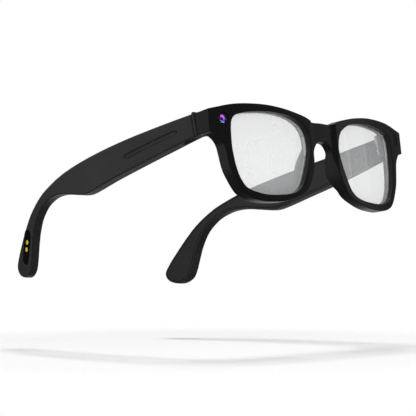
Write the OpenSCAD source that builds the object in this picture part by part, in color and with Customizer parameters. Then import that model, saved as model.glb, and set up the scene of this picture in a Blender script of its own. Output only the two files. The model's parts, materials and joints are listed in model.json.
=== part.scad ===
// Camera smart glasses: a full-rim front with two lenses, and two folding temples that hold the electronics.
// Modelled about the bridge: +X is the wearer's left, +Y points back along the temples, +Z is up.
// Everything is drawn for the wearer's left and mirrored for the wearer's right.

/* [Front] */
// Width of each lens opening
lens_w = 50.6; // [44:0.2:62]
// Height of each lens opening
lens_h = 39; // [33:0.2:47]
// Gap between the two lens openings across the bridge
bridge_w = 22.2; // [18:0.2:27]
// Width of the rim around a lens opening
rim_w = 4; // [3.4:0.1:5]
// Thickness of the rim from front to back
rim_t = 5.6; // [5.2:0.1:7]
// Distance from a lens opening to the outer corner of the front
end_w = 11.8; // [11.2:0.1:15]
// Height of the end piece and of the temple's root
end_h = 10.4; // [10:0.1:13]
// Radius of the front's backward curve
wrap_r = 325; // [280:5:450]
// Forward lean of the front's top, in degrees
lean = 6.4; // [4:0.2:8]
// Height of the bridge above the nose arch
bridge_h = 9; // [7:0.1:11]
// Depth of the step from the rims down to the bridge
bridge_step = 1.4; // [0.8:0.1:1.8]
// How far the nose pads stand out behind the rims
pad_reach = 3.4; // [2.4:0.1:5]

/* [Lenses] */
// Thickness of a lens
lens_t = 1.9; // [1.6:0.1:2.1]
// Depth of a lens's front face behind the front of the rim
lens_in = 2.8; // [2.2:0.1:3]
// Depth of the groove that holds a lens
groove_d = 0.7; // [0.5:0.05:0.8]

/* [Temples] */
// Length of a temple from its joint to the back of its tip
temple_l = 143; // [118:1:172]
// Thickness of a temple at its widest point
temple_t = 6.4; // [6:0.1:8]
// Thickness of a temple at its tip
tip_t = 5; // [4.6:0.1:6]
// Radius of a temple's outward bow
bow_r = 312; // [280:2:400]
// Distance of the bow's widest point behind the bridge
bow_y = 50; // [40:1:60]
// Wall of a temple's outer shell
shell_wall = 1.4; // [1.2:0.05:1.6]
// Rim of the shell around its inner cover
shell_rim = 1.2; // [1:0.05:1.5]
// Thickness of a temple's inner cover
cover_t = 1.1; // [0.9:0.05:1.3]

/* [Hinges] */
// Distance of the temple joint behind the outer corner of the front
end_l = 7.5; // [7:0.1:10]
// Gap at the temple joint
joint_gap = 0.3; // [0.2:0.05:0.4]
// Radius of a hinge knuckle
knuckle_r = 1.5; // [1.3:0.05:1.7]
// Radius of a hinge pin
pin_r = 0.7; // [0.5:0.05:0.8]
// Radial clearance of a hinge pin in its moving knuckle
pin_play = 0.04; // [0.02:0.01:0.08]
// Height of a hinge over all its knuckles
hinge_h = 7.6; // [6.6:0.2:8]
// Height of the middle knuckle
middle_h = 2.8; // [2.2:0.2:3.2]
// Thickness of a hinge leaf
leaf_t = 1; // [0.8:0.05:1.2]

/* [Camera and indicator] */
// Radius of the camera's recess and of the indicator's window
eye_r = 3.2; // [2.8:0.1:3.4]
// Distance of the camera's centre from the outer corner of the front
eye_in = 7.9; // [7.6:0.1:9]
// Radius of the camera's barrel
barrel_r = 2.1; // [1.7:0.1:2.3]

/* [Controls and charging] */
// Length of the touch groove
groove_l = 33.5; // [26:0.5:40]
// Height of the touch groove
groove_h = 1.9; // [1.4:0.1:2.6]
// Length of the charging plate
plate_l = 17.6; // [15:0.2:20]
// Width of the charging plate
plate_w = 6; // [5:0.1:7]
// Radius of a charging contact
contact_r = 1.15; // [0.9:0.05:1.3]
// Distance between the two charging contacts
contact_gap = 3.7; // [3:0.1:4.4]
// Length of the capture button
button_l = 8; // [6:0.5:10]
// Travel of the capture button
button_travel = 0.3; // [0.2:0.05:0.4]
// Travel of the power switch
switch_travel = 1.5; // [1:0.1:1.8]

/* [Hidden] */
$fn = 128;
big_fn = 720;
fit = 0.05;
slide_fit = 0.12;

// Places on the front, in its own upright plane
lens_x = bridge_w / 2 + lens_w / 2;
lens_z = 0.6;
half_w = bridge_w / 2 + lens_w + end_w;
end_top = lens_z + lens_h / 2 + 0.4;
end_bottom = end_top - end_h;
arch_z = end_top - 3 - bridge_h;
eye_x = half_w - eye_in;
eye_z = end_top - 5.1;
eye_turn = asin(eye_x / wrap_r);
function face_y(x) = wrap_r - sqrt(wrap_r * wrap_r - x * x);

// Places on the temples
rest_z = cos(lean) * (lens_z - 0.486 * (lens_h + 2 * rim_w)) + sin(lean) * face_y(lens_x);
corner_y = face_y(half_w) - sin(lean) * eye_z;
bow_x = half_w + bow_r - sqrt(bow_r * bow_r - (bow_y - corner_y) * (bow_y - corner_y));
bow_cx = bow_x - bow_r;
joint_y = corner_y + end_l;
root_y = joint_y + joint_gap;
root_z = (end_top + end_bottom) / 2;
back_y = root_y + temple_l;
function outer_x(y) = bow_cx + sqrt(bow_r * bow_r - (y - bow_y) * (y - bow_y));
// The inner face is a flatter curve than the outer one, so a temple thins towards its tip
tip_run = back_y - bow_y;
inner_drop = bow_r - sqrt(bow_r * bow_r - tip_run * tip_run) - (temple_t - tip_t);
inner_r = (tip_run * tip_run + inner_drop * inner_drop) / (2 * inner_drop);
inner_cx = bow_x - temple_t - inner_r;
function inner_x(y) = inner_cx + sqrt(inner_r * inner_r - (y - bow_y) * (y - bow_y));

// Hinge axis, just inside the temple's inner face
pin_x = inner_x(joint_y) - knuckle_r - 0.8;
pin_y = joint_y + 0.9;
plate_back = pin_y - knuckle_r - 0.35;
plate_front = plate_back - leaf_t;
plate_x0 = pin_x - 4.4;
plate_x1 = pin_x + knuckle_r + 0.2;

// A smooth curve through knots, with n steps between each pair
function between(a, b, c, d, t) =
    0.5 * (2 * b + (c - a) * t + (2 * a - 5 * b + 4 * c - d) * t * t + (3 * b - a - 3 * c + d) * t * t * t);
function curve(k, n) = [
    for (i = [0 : len(k) - 2]) for (j = [0 : n - 1])
        between(k[max(i - 1, 0)], k[i], k[i + 1], k[min(i + 2, len(k) - 1)], j / n),
    k[len(k) - 1]
];
function closed_curve(k, n) = [
    for (i = [0 : len(k) - 1]) for (j = [0 : n - 1])
        between(k[(i + len(k) - 1) % len(k)], k[i], k[(i + 1) % len(k)], k[(i + 2) % len(k)], j / n)
];
function unit(v) = v / norm(v);
function normal_at(p, i) =
    let (a = unit(p[i] - p[(i + len(p) - 1) % len(p)]), b = unit(p[(i + 1) % len(p)] - p[i]), m = unit(a + b))
    [m[1], -m[0]] / max(0.6, m * a);
// An anticlockwise outline moved outwards by d
function grown(p, d) = [for (i = [0 : len(p) - 1]) p[i] + d * normal_at(p, i)];
function flipped(p) = [for (i = [len(p) - 1 : -1 : 0]) [-p[i][0], p[i][1]]];

// Lens opening, as shares of its width and height about its middle, anticlockwise
LENS_KNOTS = [
    [0.5, 0.13], [0.478, 0.375], [0.36, 0.462], [0.096, 0.5], [-0.13, 0.492], [-0.306, 0.448],
    [-0.447, 0.341], [-0.5, 0.17], [-0.478, -0.01], [-0.383, -0.297], [-0.3, -0.418], [-0.165, -0.478],
    [0.05, -0.5], [0.2, -0.488], [0.357, -0.43], [0.43, -0.32], [0.468, -0.194], [0.492, -0.03]
];
lens_outline = closed_curve([for (k = LENS_KNOTS) [lens_x + k[0] * lens_w, lens_z + k[1] * lens_h]], 4);

// Outer edge of the front, as shares of the rim's outer width and height about the lens's middle
TOP_KNOTS = [
    [0.437, 0.46], [0.317, 0.479], [0.18, 0.487], [0.026, 0.485], [-0.144, 0.464], [-0.281, 0.434], [-0.4, 0.4]
];
RIM_KNOTS = [
    [-0.512, 0.09], [-0.49, 0.003], [-0.444, -0.172], [-0.39, -0.3], [-0.33, -0.375], [-0.2, -0.438],
    [-0.076, -0.474], [0.06, -0.486], [0.16, -0.484], [0.27, -0.458], [0.36, -0.395], [0.43, -0.268],
    [0.471, -0.155], [0.493, -0.02], [0.512, 0.07], [0.56, 0.15]
];
function on_rim(k) = [lens_x + k[0] * (lens_w + 2 * rim_w), lens_z + k[1] * (lens_h + 2 * rim_w)];
bridge_top = arch_z + bridge_h;
top_edge = curve(concat([[half_w, end_top - 0.6]], [for (k = TOP_KNOTS) on_rim(k)], [[bridge_w / 3, bridge_top],
    [0, bridge_top]]), 4);
low_edge = curve(concat([[0, arch_z], [bridge_w / 6, arch_z - 0.7]], [for (k = RIM_KNOTS) on_rim(k)],
    [[half_w + 0.2, end_bottom]]), 4);
half_outline = concat(low_edge, top_edge);
// Channel for the flex circuit along the brow, and what fits in it
function brow_band(a, b) =
    let (e = [for (p = top_edge) if (p[0] < eye_x - 2) p])
    concat([for (i = [0 : len(e) - 1]) e[i] + a * brow_in(e, i)],
        [for (i = [len(e) - 1 : -1 : 0]) e[i] + b * brow_in(e, i)]);
function brow_in(e, i) =
    let (v = unit(e[min(i + 1, len(e) - 1)] - e[max(i - 1, 0)]))
    i == len(e) - 1 ? [0, -1] : [-v[1], v[0]];

// Side outline of a temple: share of its length, and share of the height from its lowest point to its root's top
TEMPLE_KNOTS = [
    [0, 0.757], [0.135, 0.706], [0.275, 0.659], [0.392, 0.624], [0.485, 0.591], [0.533, 0.593], [0.594, 0.654],
    [0.65, 0.711], [0.695, 0.729], [0.732, 0.719], [0.775, 0.676], [0.822, 0.566], [0.856, 0.407], [0.88, 0.238],
    [0.896, 0.12], [0.915, 0.035], [0.948, 0], [0.98, 0.035], [0.997, 0.1], [0.998, 0.18], [0.977, 0.273],
    [0.944, 0.388], [0.9, 0.53], [0.85, 0.667], [0.792, 0.777], [0.733, 0.85], [0.622, 0.93], [0.477, 0.974],
    [0.313, 0.995], [0.178, 1], [0, 1.005]
];
function on_temple(k) = [root_y + k[0] * temple_l, rest_z + k[1] * (end_top - rest_z)];
// The lower edge meets the end piece's, whatever its height, and is back on its own curve at drop_end
drop_end = 0.55;
root_drop = end_h - 0.1 - (1 - TEMPLE_KNOTS[0][1]) * (end_top - rest_z);
function dropped(i) = i > 5 ? 0 : root_drop * max(0, 1 - TEMPLE_KNOTS[i][0] / drop_end);
temple_outline = curve([for (i = [0 : len(TEMPLE_KNOTS) - 1]) on_temple(TEMPLE_KNOTS[i]) - [0, dropped(i)]], 3);

// Whole part about its origin: middle of the footprint, on the resting surface
foremost = on_rim(TOP_KNOTS[6]);
front_y = cos(lean) * face_y(foremost[0]) - sin(lean) * foremost[1];
module placed() translate([0, -(front_y + back_y) / 2, -rest_z]) children();
module wearers_right() mirror([1, 0, 0]) children();
module both_sides() {
    children();
    wearers_right() children();
}

// ---- Building blocks ----

// A flat outline in x and z, drawn out along y from y0 to y1
module slab(outline, y0, y1) {
    translate([0, y1, 0]) rotate([90, 0, 0]) linear_extrude(y1 - y0) polygon(outline);
}
// A flat outline in y and z, drawn out along x from x0 to x1
module side_slab(outline, x0, x1) {
    translate([x0, 0, 0]) rotate([90, 0, 90]) linear_extrude(x1 - x0) polygon(outline);
}
// A box from its low corner to its high corner
module block(low, high) {
    translate(low) cube(high - low);
}
// A stadium of length l and width w, centred, lying along x
module stadium(l, w, h) {
    linear_extrude(h) union() {
        square([l - w, w], center = true);
        for (s = [-1, 1]) translate([s * (l - w) / 2, 0]) circle(d = w);
    }
}
// The front's own plane, leaning forwards at the top
module leaning() rotate([lean, 0, 0]) children();
// All the space more than d behind the curved face
module behind_face(d) {
    translate([0, wrap_r, 0]) cylinder(r = wrap_r - d, h = 140, center = true, $fn = big_fn);
}
// The space between depths d0 and d1 behind the curved face
module face_layer(d0, d1) {
    difference() {
        behind_face(d0);
        behind_face(d1);
    }
}
// All the space more than d inside the temple's outer face
module inside_bow(d) {
    translate([bow_cx, bow_y, -60]) cylinder(r = bow_r - d, h = 140, $fn = big_fn);
}
// All the space up to d outside the temple's inner face
module within_inner(d) {
    translate([inner_cx, bow_y, -60]) cylinder(r = inner_r + d, h = 140, $fn = big_fn);
}
// A side outline's slab, as far as the temples' curved faces can reach
module temple_slab(outline, y0, y1) {
    intersection() {
        side_slab(outline, half_w - 30, half_w + 10);
        block([half_w - 40, root_y + y0, -80], [half_w + 20, root_y + y1, 80]);
    }
}
// The temple's outline moved inwards by d, from y0 to y1 behind the joint, and from a below
// the outer face to b above the inner face
module temple_part(d, y0, y1, a, b) {
    difference() {
        intersection() {
            temple_slab(grown(temple_outline, -d), y0, y1);
            inside_bow(a);
        }
        within_inner(b);
    }
}
// The same, between heights a and b above the inner face
module inner_part(d, y0, y1, a, b) {
    difference() {
        intersection() {
            temple_slab(grown(temple_outline, -d), y0, y1);
            within_inner(b);
        }
        within_inner(a);
    }
}
// A round bar along z between two heights
module upright(x, y, r, z0, z1) {
    translate([x, y, z0]) cylinder(r = r, h = z1 - z0);
}
// A round bar along y between two depths
module along_y(x, z, r, y0, y1) {
    translate([x, y0, z]) rotate([-90, 0, 0]) cylinder(r = r, h = y1 - y0);
}
// The camera's place on the face: z points straight into the front there
module at_eye() {
    leaning() translate([eye_x, face_y(eye_x), eye_z]) rotate([0, 0, eye_turn]) rotate([-90, 0, 0]) children();
}
module eye_bar(r, d0, d1) at_eye() translate([0, 0, d0]) cylinder(r = r, h = d1 - d0);
// A round bar along x between two distances
module along_x(y, z, r, x0, x1) {
    translate([x0, y, z]) rotate([0, 90, 0]) cylinder(r = r, h = x1 - x0);
}

// ---- Front ----

full_outline = concat(half_outline, [for (i = [len(half_outline) - 2 : -1 : 1])
    [-half_outline[i][0], half_outline[i][1]]]);
channel_top = 0.6;
channel_low = 1.9;
cover_depth = 0.7;
pocket_x = eye_x - sin(eye_turn) * 4.5;
pocket_y = face_y(eye_x) + 2.6 - sin(lean) * eye_z;
pocket_z = cos(lean) * eye_z + sin(lean) * (face_y(eye_x) + 4.5);
pocket_w = 4.2;
sensor_w = 3.6;
screw_r = 0.45;
head_r = 0.85;
front_screw_x = plate_x0 + 0.9;
front_screw_z = [root_z - 4, root_z + 4];
mic_z = arch_z + 3.6;

// The end piece behind the corner of the front, up to the temple joint
module end_piece() {
    intersection() {
        translate([0, 0, -60]) linear_extrude(120) polygon([
            [half_w - 15, -6], [half_w + 4, -6], [half_w + 4, joint_y], [plate_x1 + 0.3, joint_y],
            [plate_x1 + 0.3, plate_front], [plate_x0 - 0.4, plate_front], [half_w - 15, plate_front - 3]
        ]);
        side_slab([[-8, end_bottom - 0.3], [joint_y, end_bottom], [joint_y, end_top], [-8, end_top - 0.9]],
            half_w - 20, half_w + 6);
        inside_bow(0);
        leaning() behind_face(0);
    }
}
// The ridge behind the nose side of a rim that rests on the nose
module nose_pad() {
    ball_r = 13.6;
    leaning() intersection() {
        slab(half_outline, 0, 30);
        translate([bridge_w / 2 + 1, rim_t + pad_reach - ball_r, lens_z - 5]) sphere(r = ball_r);
    }
}
// What is cut from each half of the front
module front_cuts() {
    leaning() {
        slab(lens_outline, -12, 40);
        intersection() {
            slab(grown(lens_outline, groove_d + fit), -12, 40);
            face_layer(lens_in - fit, lens_in + lens_t + fit);
        }
        intersection() {
            slab(brow_band(channel_top, channel_low), 0, 30);
            face_layer(rim_t - 2, rim_t + 1);
        }
    }
    eye_bar(eye_r, -5, 1.6);
    eye_bar(barrel_r + fit, 0, 4);
    block([pocket_x - pocket_w / 2, pocket_y, pocket_z - pocket_w / 2 - 0.2],
        [pocket_x + pocket_w / 2, joint_y, pocket_z + pocket_w / 2 + 0.2]);
    for (z = front_screw_z)
        along_y(front_screw_x, z, screw_r, plate_front - 2.6, joint_y);
}
module front_frame() color([0.02, 0.02, 0.022]) placed() {
    difference() {
        union() {
            leaning() intersection() {
                slab(full_outline, -12, 40);
                face_layer(0, rim_t);
            }
            both_sides() {
                end_piece();
                nose_pad();
            }
        }
        both_sides() front_cuts();
        // The bridge is stepped back from the rims, with a slope at each side
        leaning() translate([0, 0, arch_z - 4]) linear_extrude(60) polygon([
            [-bridge_w / 2 + 2, -4], [bridge_w / 2 - 2, -4], [bridge_w / 2 - 2, 0.12],
            [bridge_w / 2 - 4, bridge_step], [4 - bridge_w / 2, bridge_step], [2 - bridge_w / 2, 0.12]
        ]);
        leaning() along_y(0, mic_z, 1.5, rim_t - 1.3, rim_t + 3);
    }
}
module brow_strip(top, low, d0, d1) {
    leaning() both_sides() intersection() {
        slab(brow_band(top, low), 0, 30);
        face_layer(d0, d1);
    }
}
module brow_cover() color([0.03, 0.03, 0.032]) placed()
    brow_strip(channel_top + fit, channel_low - fit, rim_t - cover_depth, rim_t);
module front_flex() color("darkorange") placed()
    brow_strip(channel_top + 0.25, channel_low - 0.25, rim_t - 1.9, rim_t - 1.65);
module lens() {
    leaning() intersection() {
        slab(grown(lens_outline, groove_d), 0, 30);
        face_layer(lens_in, lens_in + lens_t);
    }
}
module left_lens() color([0.85, 0.88, 0.9, 0.3]) placed() lens();
module right_lens() color([0.85, 0.88, 0.9, 0.3]) placed() wearers_right() lens();
module bridge_microphone() color("dimgray") placed()
    leaning() along_y(0, mic_z, 1.45, rim_t - 1.25, rim_t - 0.1);

// ---- Camera, on the wearer's right, and indicator, on the wearer's left ----

module camera_bezel() color([0.05, 0.05, 0.055]) placed() wearers_right() difference() {
    eye_bar(eye_r - fit, 0.35, 1.55);
    eye_bar(barrel_r + 0.25, 0, 3);
}
module camera_window() color([0.1, 0.08, 0.2, 0.6]) placed() wearers_right() eye_bar(barrel_r + 0.2, 0.8, 1.3);
module camera_barrel() color([0.08, 0.07, 0.1]) placed() wearers_right() difference() {
    eye_bar(barrel_r, 1.4, 4.2);
    eye_bar(barrel_r * 0.45, 0, 2.6);
}
module sensor_plate() at_eye() translate([-sensor_w / 2, -sensor_w / 2, 4.25]) cube([sensor_w, sensor_w, 0.65]);
module camera_sensor() color("seagreen") placed() wearers_right() sensor_plate();
module indicator_window() color([0.06, 0.06, 0.065]) placed() eye_bar(eye_r - fit, 0.2, 1.55);
module indicator_board() color("seagreen") placed() union() {
    sensor_plate();
    eye_bar(1.2, 2.2, 4.3);
}

// ---- Hinges ----

module knuckle(r, z0, z1) {
    difference() {
        upright(pin_x, pin_y, knuckle_r, z0, z1);
        upright(pin_x, pin_y, r, z0 - 1, z1 + 1);
    }
}
module hinge_front_leaf() {
    lug = knuckle_r * 0.9;
    difference() {
        union() {
            block([plate_x0, plate_front, root_z - 4.8], [plate_x1, plate_back, root_z + 4.8]);
            for (s = [-1, 1])
                translate([0, 0, root_z + s * (hinge_h + middle_h + 0.2) / 4])
                    translate([0, 0, -(hinge_h - middle_h - 0.2) / 4]) {
                        block([pin_x - lug, plate_back - 0.2, 0],
                            [pin_x + lug, pin_y, (hinge_h - middle_h - 0.2) / 2]);
                        upright(pin_x, pin_y, knuckle_r, 0, (hinge_h - middle_h - 0.2) / 2);
                    }
        }
        upright(pin_x, pin_y, pin_r, root_z - 10, root_z + 10);
        for (z = front_screw_z)
            along_y(front_screw_x, z, screw_r, plate_front - 1, plate_back + 1);
    }
}
module hinge_front_screws() {
    for (z = front_screw_z) {
        along_y(front_screw_x, z, screw_r - 0.02, plate_front - 2.5, plate_back + 0.1);
        along_y(front_screw_x, z, head_r, plate_back, plate_back + 0.35);
    }
}
module hinge_pin() {
    upright(pin_x, pin_y, pin_r, root_z - hinge_h / 2 - 0.1, root_z + hinge_h / 2);
    upright(pin_x, pin_y, knuckle_r - 0.2, root_z - hinge_h / 2 - 0.45, root_z - hinge_h / 2);
}
leaf_l = 8.6;
leaf_screws = [root_y + 4.4, root_y + 7];
// The leaf lies in the temple's inner face, with an arm to the middle knuckle
module hinge_temple_leaf() {
    difference() {
        union() {
            upright(pin_x, pin_y, knuckle_r, root_z - middle_h / 2, root_z + middle_h / 2);
            block([pin_x, root_y, root_z - middle_h / 2],
                [inner_x(root_y) + leaf_t * 0.8, root_y + 1.7, root_z + middle_h / 2]);
            intersection() {
                inner_part(0, 0, leaf_l, 0, leaf_t);
                block([0, root_y, root_z - 2.4], [half_w + 9, root_y + leaf_l, root_z + 2.4]);
            }
        }
        upright(pin_x, pin_y, pin_r + pin_play, root_z - 10, root_z + 10);
        for (y = leaf_screws)
            along_x(y, root_z, screw_r, half_w - 20, half_w + 9);
    }
}
module hinge_temple_screws() {
    for (y = leaf_screws) {
        along_x(y, root_z, screw_r - 0.02, inner_x(y) - 0.1, inner_x(y) + leaf_t + 1.2);
        along_x(y, root_z, head_r, inner_x(y) - 0.4, inner_x(y) - 0.05);
    }
}

// ---- Temples ----

gasket_l = 1.4;
cavity_in = shell_rim + 0.8;
cover_start = leaf_l + 1;
cavity_start = cover_start + 1.2;
port_y = root_y + 6.6;
port_x = outer_x(port_y) - 2.7;
port_z = end_bottom - 0.75;
mic_places = [cover_start + 4, cover_start + 7.2];

module port_hole(l, w, z0, z1) {
    translate([port_x, port_y, z0]) rotate([0, 0, 90]) stadium(l, w, z1 - z0);
}
// Room in the joint end of a temple for the hinge's arm and leaf
module leaf_pocket() {
    block([half_w - 30, root_y - 1, root_z - middle_h / 2 - fit],
        [inner_x(root_y) + leaf_t * 0.8 + fit, root_y + 1.7 + fit, root_z + middle_h / 2 + fit]);
    intersection() {
        inner_part(-4, -1, leaf_l + fit, -4, leaf_t);
        block([0, root_y - 1, root_z - 2.4 - fit], [half_w + 9, root_y + leaf_l + fit, root_z + 2.4 + fit]);
    }
}
module temple_shell() {
    difference() {
        temple_part(0, gasket_l, temple_l + 1, 0, 0);
        temple_part(cavity_in, cavity_start, temple_l, shell_wall, 0);
        temple_part(cavity_in, gasket_l + 1, cavity_start + 1, shell_wall, temple_t - 3.6);
        inner_part(shell_rim, cover_start - fit, temple_l, -4, cover_t);
        leaf_pocket();
        for (y = leaf_screws)
            along_x(y, root_z, screw_r, half_w - 20, inner_x(y) + leaf_t + 1.3);
        port_hole(7, 2.5, port_z - 4, port_z + 2.6);
    }
}
module temple_cover() inner_part(shell_rim + fit, cover_start, temple_l, 0, cover_t);
module microphone_discs(r, d) {
    for (y = mic_places)
        along_x(root_y + y, root_z - 2.9, r, inner_x(root_y + y) - 0.02, inner_x(root_y + y) + d);
}
module joint_gasket() {
    difference() {
        union() {
            temple_part(0, 0, gasket_l, 0, 0);
            along_x(root_y + 1.05, end_top + 0.1, 1.05, inner_x(root_y) + 0.6, outer_x(root_y) - 0.6);
        }
        leaf_pocket();
        block([0, root_y + gasket_l, 0], [half_w + 9, root_y + 9, end_top + 0.35]);
    }
}
speaker_at = on_temple([0.294, 0.797]);
module speaker() {
    on_bow(speaker_at[0], speaker_at[1]) rotate([90, 0, 90]) difference() {
        translate([0, 0, -4.9]) stadium(14, 6.4, 3.2);
        translate([0, 0, -5.2]) stadium(10, 3.4, 0.8);
    }
}
// A cell of length l that starts at y0 behind the joint
module battery(y0, l) temple_part(cavity_in + 0.4, y0, y0 + l, shell_wall + 0.2, cover_t + 0.3);

// A frame on the temple's outer face at y, with x along the outward normal
module on_bow(y, z) {
    translate([outer_x(y), y, z]) rotate([0, 0, asin((y - bow_y) / bow_r)]) children();
}
board_t = 0.8;
board_d = shell_wall + 0.4;
module board(at, l, h) {
    on_bow(at[0], at[1]) block([-board_d - board_t, -l / 2, -h / 2], [-board_d, l / 2, h / 2]);
}

module left_hinge_front_leaf() color("silver") placed() hinge_front_leaf();
module left_hinge_pin() color("gainsboro") placed() hinge_pin();
module left_hinge_front_screws() color("dimgray") placed() hinge_front_screws();
module right_hinge_front_leaf() color("silver") placed() wearers_right() hinge_front_leaf();
module right_hinge_pin() color("gainsboro") placed() wearers_right() hinge_pin();
module right_hinge_front_screws() color("dimgray") placed() wearers_right() hinge_front_screws();
module left_hinge_temple_leaf() color("silver") placed() hinge_temple_leaf();
module left_hinge_temple_screws() color("dimgray") placed() hinge_temple_screws();
module right_hinge_temple_leaf() color("silver") placed() wearers_right() hinge_temple_leaf();
module right_hinge_temple_screws() color("dimgray") placed() wearers_right() hinge_temple_screws();
module left_joint_gasket() color([0.04, 0.04, 0.04]) placed() joint_gasket();
module right_joint_gasket() color([0.04, 0.04, 0.04]) placed() wearers_right() joint_gasket();
module left_speaker() color("dimgray") placed() speaker();
module right_speaker() color("dimgray") placed() wearers_right() speaker();
module left_port_mesh() color("gray") placed() port_hole(6.9, 2.4, port_z + 0.9, port_z + 1.3);
module right_port_mesh() color("gray") placed() wearers_right()
    port_hole(6.9, 2.4, port_z + 0.9, port_z + 1.3);
module left_microphones() color("gray") placed() microphone_discs(0.5, 0.3);
module right_microphones() color("gray") placed() wearers_right() microphone_discs(0.5, 0.3);

// ---- Left temple: power switch, board and battery ----

switch_y = root_y + 17.5;
switch_z = root_z + 0.4;
module switch_bar(l, w, shift, d0, d1) {
    translate([outer_x(switch_y) - d1, switch_y + shift, switch_z]) rotate([90, 0, 90])
        stadium(l, w, d1 - d0);
}
knob_w = 2.4;
switch_rest = -switch_travel / 2;
module left_temple_shell() color([0.03, 0.03, 0.032]) placed() temple_shell();
module left_temple_cover() color([0.03, 0.03, 0.032]) placed() difference() {
    temple_cover();
    microphone_discs(0.52, 0.32);
    switch_bar(knob_w + switch_travel + 2 * slide_fit, knob_w + 2 * slide_fit, 0, 3, temple_t + 2);
}
module power_switch() color([0.1, 0.1, 0.1]) placed() {
    switch_bar(knob_w + 0.02, knob_w, switch_rest, temple_t - cover_t - 0.6, temple_t + 0.4);
    switch_bar(knob_w + 3.6, knob_w + 1.2, switch_rest, temple_t - cover_t - 0.75, temple_t - cover_t - 0.25);
}
module switch_contacts() color("seagreen") placed()
    switch_bar(6, 3, 0, temple_t - cover_t - 2.2, temple_t - cover_t - 1);
module left_board() color("seagreen") placed() board(on_temple([0.164, 0.856]), 19, 6.2);
module left_battery() color("lightgray") placed() battery(speaker_at[0] - root_y + 9, 45);

// ---- Right temple: touch groove, capture button, main board, battery and charging plate ----

touch_y = root_y + 27.6;
touch_z = root_z - 1.7;
touch_turn = -4.4;
module touch_slot(l, h, d0, d1) {
    intersection() {
        translate([half_w - 20, touch_y, touch_z]) rotate([90, 0, 90]) rotate([0, 0, touch_turn])
            stadium(l, h, 40);
        difference() {
            inside_bow(d0);
            inside_bow(d1);
        }
    }
}
button_y = root_y + 15.5;
button_x = outer_x(button_y) - 3.35;
button_w = 2.4;
module button_bar(l, w, z0, z1) {
    translate([button_x, button_y, end_top + z0]) rotate([0, 0, 90]) stadium(l, w, z1 - z0);
}
plate_at = on_temple([0.911, 0.323]);
plate_phi = asin((plate_at[0] - bow_y) / bow_r);
plate_turn = 29;
module on_plate() {
    translate([outer_x(plate_at[0]), plate_at[0], plate_at[1]]) rotate([0, 0, plate_phi])
        rotate([0, 90, 0]) rotate([0, 0, plate_turn]) children();
}
module contact_bars(r, z0, z1) {
    for (x = [-0.8 - contact_gap / 2, -0.8 + contact_gap / 2])
        translate([x, 0, z0]) cylinder(r = r, h = z1 - z0);
}
module right_temple_shell() color([0.03, 0.03, 0.032]) placed() wearers_right() difference() {
    temple_shell();
    touch_slot(groove_l, groove_h, -3, 0.35);
    button_bar(button_l + 2 * slide_fit, button_w + 2 * slide_fit, -3, 3);
    on_plate() {
        translate([0, 0, -0.8]) stadium(plate_l + 2 * fit, plate_w + 2 * fit, 4);
        contact_bars(contact_r + fit, -4, 1);
    }
}
module right_temple_cover() color([0.03, 0.03, 0.032]) placed() wearers_right() difference() {
    temple_cover();
    microphone_discs(0.52, 0.32);
}
module capture_button() color([0.06, 0.06, 0.062]) placed() wearers_right() {
    button_bar(button_l, button_w, -cavity_in - 0.4, 0.45);
    button_bar(button_l + 1.2, button_w + 0.8, -cavity_in - 0.75, -cavity_in - 0.2);
}
module button_dome() color("gold") placed() wearers_right()
    button_bar(3.2, 2, -cavity_in - 2.2, -cavity_in - 0.8 - button_travel);
module touch_sensor() color("peru") placed() wearers_right()
    touch_slot(groove_l - 6, groove_h + 1.4, shell_wall, shell_wall + 0.2);
main_board_at = on_temple([0.444, 0.802]);
board_l = 25;
module main_board() color("seagreen") placed() wearers_right() board(main_board_at, board_l, 9.4);
module processor_shield() color("silver") placed() wearers_right()
    on_bow(main_board_at[0], main_board_at[1])
        block([-board_d - board_t - 1.4, -9, -3], [-board_d - board_t, 9, 3]);
module right_battery() color("lightgray") placed() wearers_right()
    battery(main_board_at[0] - root_y + board_l / 2 + 2, 26);
module charging_plate() color([0.12, 0.12, 0.13]) placed() wearers_right() on_plate() difference() {
    translate([0, 0, -0.8]) stadium(plate_l, plate_w, 0.72);
    contact_bars(contact_r + fit, -4, 1);
}
module charging_contacts() color("gold") placed() wearers_right() on_plate()
    contact_bars(contact_r, -2.3, 0.05);
module charging_magnets() color("lightslategray") placed() wearers_right() on_plate()
    for (x = [-1, 1]) translate([x * plate_l * 0.36, 0, -3.1]) cylinder(r = 1.7, h = 1.5);

front_frame();
brow_cover();
front_flex();
left_lens();
right_lens();
camera_bezel();
camera_window();
camera_barrel();
camera_sensor();
indicator_window();
indicator_board();
bridge_microphone();
left_hinge_front_leaf();
left_hinge_pin();
left_hinge_front_screws();
right_hinge_front_leaf();
right_hinge_pin();
right_hinge_front_screws();
left_temple_shell();
left_temple_cover();
left_hinge_temple_leaf();
left_hinge_temple_screws();
left_joint_gasket();
left_speaker();
left_port_mesh();
left_battery();
left_board();
left_microphones();
power_switch();
switch_contacts();
right_temple_shell();
right_temple_cover();
right_hinge_temple_leaf();
right_hinge_temple_screws();
right_joint_gasket();
right_speaker();
right_port_mesh();
right_battery();
main_board();
processor_shield();
right_microphones();
touch_sensor();
charging_plate();
charging_contacts();
charging_magnets();
capture_button();
button_dome();
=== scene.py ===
import json
import math

import bmesh
import bpy
from mathutils import Matrix, Vector

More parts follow.
